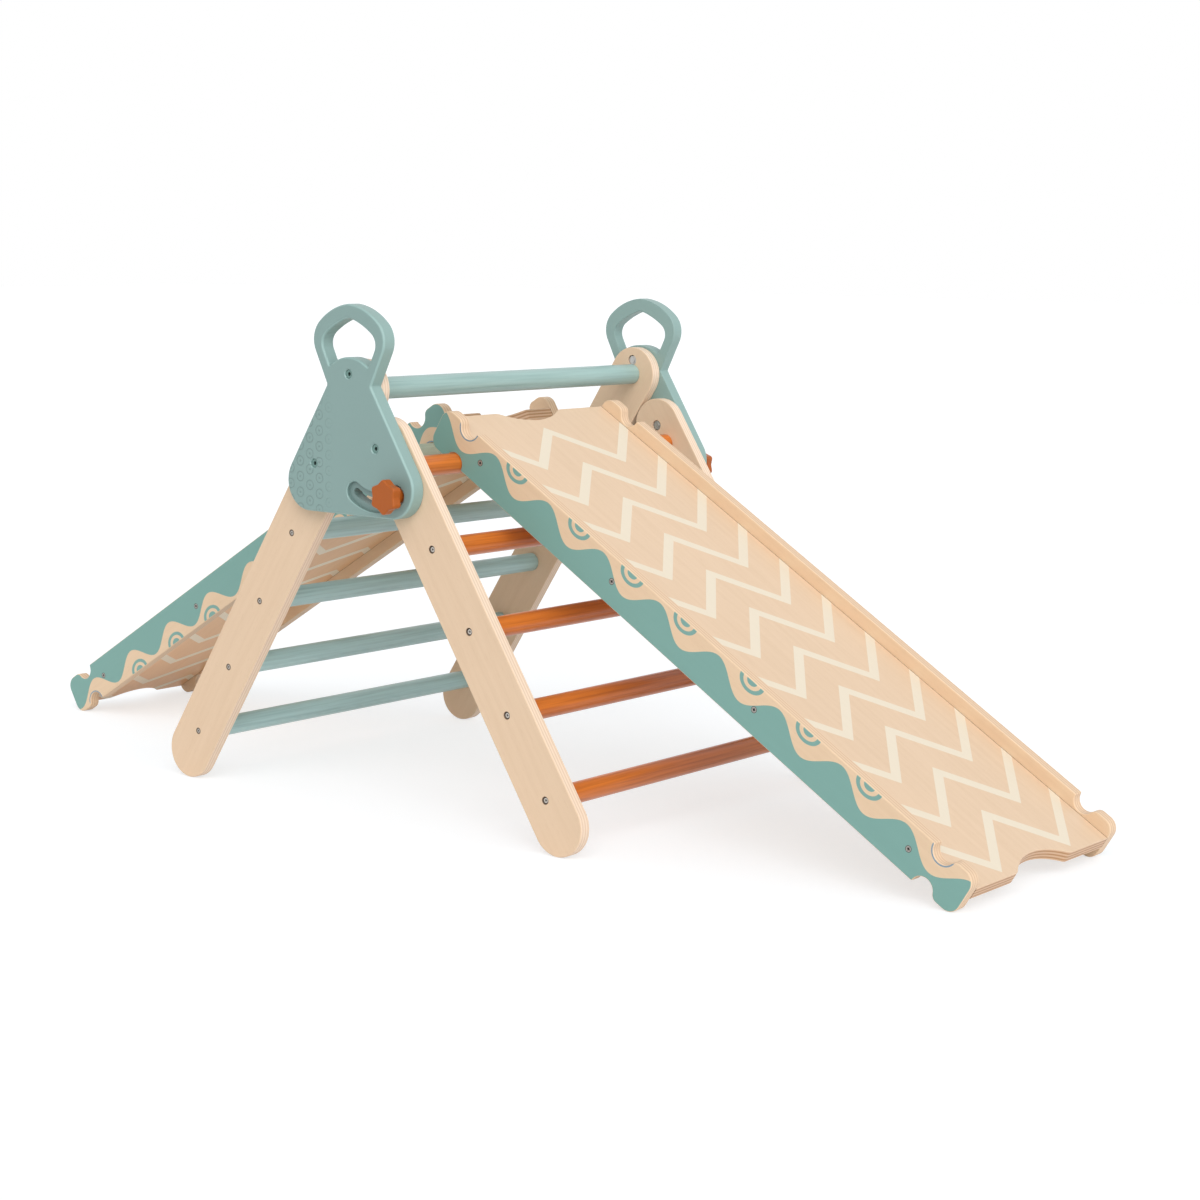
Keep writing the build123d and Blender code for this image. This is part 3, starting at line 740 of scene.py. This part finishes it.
def embossed(name, colour, roughness, grit):
    finish = Finish(name)
    x, y, z = finish.axes()
    depth = abs(y)
    pits, cloud = mould_texture(finish, grit)
    # painted shade: the pressed rings are drawn darker, as the shade in their grooves
    mark = mark_paint(finish, x, z)
    # painted highlight along the rounded rims and the bevels of the seats
    rim = finish.steps(depth, wall_depth, rim_low)
    rim = rim * (1 - finish.steps(depth, rim_high, face_depth))
    level = (cloud - 0.5) * bracket_tone_change + (pits - 0.5) * bracket_tone_change + 1
    # painted light on the side walls; with the painted shade of the rings and the painted
    # highlight of the rims
    level = level - mark * ring_shade_share + rim * rim_highlight_share + (depth < wall_depth) * wall_light_share
    # painted shade on the floor of the clamp's recess
    level = level * (1 - slot_shade(x, z, depth) * slot_shade_share)
    return finish.surface(base_color=finish.scale_colour(colour, level),
                          roughness=(pits - 0.5) * pit_roughness + roughness,
                          ior=plastic_ior,
                          normal=finish.bump(pits * pits_to_marks - mark, mark_depth, mark_bump))


dress(on_both_hands("bracket"),
      embossed("sage_plastic", bracket_colour, roughness=0.42, grit=bracket_grit))
print("brackets dressed")

# %% [markdown]
# ## Bare metal
#
# Nuts, washers and the clamps' bolts are zinc plated, and the knobs' inserts are brass.
# Both are metal with fine marks from the lathe, which is noise squeezed along the axis.
# They show in a few small places only, so one plain finish for each is enough.

# %% Nuts, washers, clamp bolts and inserts
lathe_depth = 0.00005
lathe_across, lathe_along = 900, 2600
lathe_bump, lathe_tone_change, lathe_roughness = 0.3, 0.25, 0.2


def turned_metal(name, colour, roughness):
    finish = Finish(name)
    x, y, z = finish.axes()
    marks = finish.noise(finish.vector(x * lathe_across, y * lathe_along, z * lathe_across),
                         detail=2)
    tone = finish.scale_colour(colour, (marks - 0.5) * lathe_tone_change + 1)
    return finish.surface(base_color=tone, metallic=1.0,
                          roughness=marks * lathe_roughness + roughness,
                          normal=finish.bump(marks, lathe_depth, lathe_bump))


zinc_grey = rgb(190, 188, 184)
zinc = turned_metal("zinc", zinc_grey, roughness=0.28)
for stem in ("top_bolt_nut", "pivot_nut", "clamp_bolt", "clamp_washer"):
    dress(on_both_hands(stem), zinc)
dress(on_both_hands("knob_insert"), turned_metal("brass", rgb(201, 168, 98), roughness=0.32))
print("bare metal dressed")

# %% [markdown]
# ## Screws
#
# From a few metres away a sunk screw reads as a grey dot with a dark socket and a dark
# outline. The socket is in the model, and so is the gap round the head, but both are
# smaller than a pixel there, so the finish paints the shade in them on as a dark centre and
# a dark ring. The same folded distance as on the legs finds the nearest screw.

# %% Screws
screw_shade, screw_shade_share, screw_blur = rgb(52, 44, 38), 0.85, 0.0004
screw_marks, screw_tone_change = 900, 0.3
screw_metal, screw_roughness = 0.35, 0.28
leg_screw, leg_socket, leg_head = rgb(206, 200, 192), 0.0017, {"rear": 0.0028, "front": 0.0034}
rail_screw, rail_socket, rail_head = rgb(168, 164, 158), 0.0018, 0.0038
rail_screw_first, rail_screw_pitch = 0.09625, 0.2825  # up a rail from its foot


def screw_finish(name, start, ways, first, pitch, tone, socket_radius, head_radius):
    finish = Finish(name)
    along, across = (finish.dot(way, start) for way in ways)
    reach = row_reach(along, across, first, pitch)
    marks = finish.noise(finish.vector(along * screw_marks, finish.dot((0, 1, 0)) * screw_marks,
                                       across * screw_marks))
    # painted shade: the socket and the gap round the head are drawn dark
    dark = 1 - finish.between(reach, socket_radius, head_radius, screw_blur)
    colour = finish.mix(dark * screw_shade_share, tone, screw_shade)
    colour = finish.scale_colour(colour, (marks - 0.5) * screw_tone_change + 1)
    return finish.surface(base_color=colour, metallic=screw_metal,
                          roughness=marks * lathe_roughness + screw_roughness,
                          normal=finish.bump(marks, lathe_depth, lathe_bump))


for ladder, side in ladders.items():
    start, *ways = leg_frame(side)
    dress(on_both_hands(f"{ladder}_rung_screws"),
          screw_finish(f"{ladder}_screws", start, ways, screw_first, screw_pitch,
                       leg_screw, leg_socket, leg_head[ladder]))
for board, side in boards.items():
    start, along, up = board_frame(side)
    middle = start + up * (rail_height / 2)
    dress(on_both_hands(f"{board}_screws"),
          screw_finish(f"{board}_screws", middle, (along, up), rail_screw_first,
                       rail_screw_pitch, rail_screw, rail_socket, rail_head))
print("screws dressed")

# %% [markdown]
# ## Coated bolts
#
# The bolts that hold the brackets have heads in the bracket's colour. They are coated, so
# to the light they are paint and not metal. The shafts stay zinc, and the depth tells the
# head from the shaft and the socket's floor from the head's face. The socket gets painted
# shade.

# %% Coated bolts
head_from, head_face, socket_below = 0.3283, 0.3354, 0.0004  # in Y, from the middle
socket_shade, socket_shade_share = rgb(38, 50, 48), 0.75
bolt_across, bolt_along = 900, 1500
bolt_tone_change, bolt_roughness, bolt_roughness_change = 0.12, 0.30, 0.15


def coated_bolt(name, colour):
    finish = Finish(name)
    x, y, z = finish.axes()
    depth = abs(y)
    marks = finish.noise(finish.vector(x * bolt_across, y * bolt_along, z * bolt_across),
                         detail=2)
    head = depth > head_from
    socket = head * (depth < head_face - socket_below)
    tone = finish.mix(head, zinc_grey, colour)
    # painted shade on the socket's floor
    tone = finish.mix(socket * socket_shade_share, tone, socket_shade)
    tone = finish.scale_colour(tone, (marks - 0.5) * bolt_tone_change + 1)
    return finish.surface(base_color=tone, metallic=1 - head,
                          roughness=marks * bolt_roughness_change + bolt_roughness,
                          normal=finish.bump(marks, lathe_depth, lathe_bump))


teal_coat = coated_bolt("teal_coat", rgb(112, 146, 139))
for stem in ("bracket_rung_bolt", "bracket_top_bolt", "pivot_bolt"):
    dress(on_both_hands(stem), teal_coat)
print("bolts dressed")

# %% [markdown]
# ## Floor
#
# The toy stands on wide white paper. A plain white floor would need so much light to come
# out white that the pale wood would wash out. So the paper glows a little, but only to
# rays that show the background: straight to the camera, by way of a mirror, or through
# glass. It still takes the soft shadow, and to the toy it is ordinary pale paper.

# %% Floor
floor_size, floor_drop = 60, 0.0005
paper_tone, paper_roughness, paper_glow = (0.40, 0.42, 0.44, 1), 0.9, 0.64
bounce_tone = (0.95, 0.95, 0.95, 1)
white = (1, 1, 1, 1)


def shows_background(graph):
    """1 for rays that show the background itself, 0 for rays that light the toy."""
    path = graph.add("ShaderNodeLightPath", {}, []).socket.node
    straight, mirrored, through = (Flow(graph, path.outputs[f"Is {kind} Ray"])
                                   for kind in ("Camera", "Glossy", "Transmission"))
    return straight.math("MAXIMUM", mirrored).math("MAXIMUM", through)


bpy.ops.object.select_all(action="DESELECT")
bpy.ops.mesh.primitive_plane_add(size=floor_size, location=(0, 0, -floor_drop))
floor = bpy.context.object
floor.name = "studio_floor"
bpy.ops.object.transform_apply(location=True)
paper = Finish("studio_paper")
paper.surface(base_color=paper_tone, roughness=paper_roughness)
glow = paper.add("ShaderNodeEmission", {}, {"Color": white, "Strength": paper_glow})
lit = paper.add("ShaderNodeAddShader", {}, [Flow(paper, paper.shader.outputs[0]), glow])
bounce = paper.add("ShaderNodeBsdfDiffuse", {}, {"Color": bounce_tone})
final = paper.add("ShaderNodeMixShader", {}, [shows_background(paper), bounce, lit])
paper.put(paper.tree.nodes["Material Output"].inputs["Surface"], final)
floor.data.materials.append(paper.material)
print("floor", floor_size, "m wide")

# %% [markdown]
# ## Sky
#
# The sky fills the shadows from all sides. It is white where the camera sees it and half as
# strong where it lights the toy, for the same reason as the floor.

# %% Sky
sky_fill, sky_seen = 0.50, 1.0

world = bpy.data.worlds.new("studio_sky")
bpy.context.scene.world = world
world.use_nodes = True
sky = Graph(world.node_tree)
background = sky.tree.nodes["Background"]
sky.put(background.inputs["Color"], white)
sky.put(background.inputs["Strength"], shows_background(sky) * (sky_seen - sky_fill) + sky_fill)
print("sky fill", sky_fill)

# %% [markdown]
# ## Lamps
#
# Two wide soft suns stand in for a studio's light boxes: one in front, to the right and
# above, and one low on the right, which lifts the edges that face it. A sun lights every
# part of a big toy alike, while an area lamp close by would fall off from leg to leg.

# %% Two soft suns


def soft_sun(name, strength, spread, towards):
    """A sun that stands in a direction, as wide as its spread in degrees."""
    lamp_data = bpy.data.lights.new(name, "SUN")
    lamp_data.energy = strength
    lamp_data.angle = radians(spread)
    lamp = bpy.data.objects.new(name, lamp_data)
    bpy.context.scene.collection.objects.link(lamp)
    lamp.rotation_mode = "QUATERNION"
    lamp.rotation_quaternion = Vector(towards).to_track_quat("Z", "Y")
    return lamp


lamps = [soft_sun("soft_sun", strength=1.1, spread=45, towards=(0.55, -0.8, 0.85)),
         soft_sun("side_panel", strength=1.25, spread=60, towards=(1.0, -0.3, 0.5))]
bpy.context.scene.view_settings.view_transform = "Standard"
print("lamps", len(lamps))
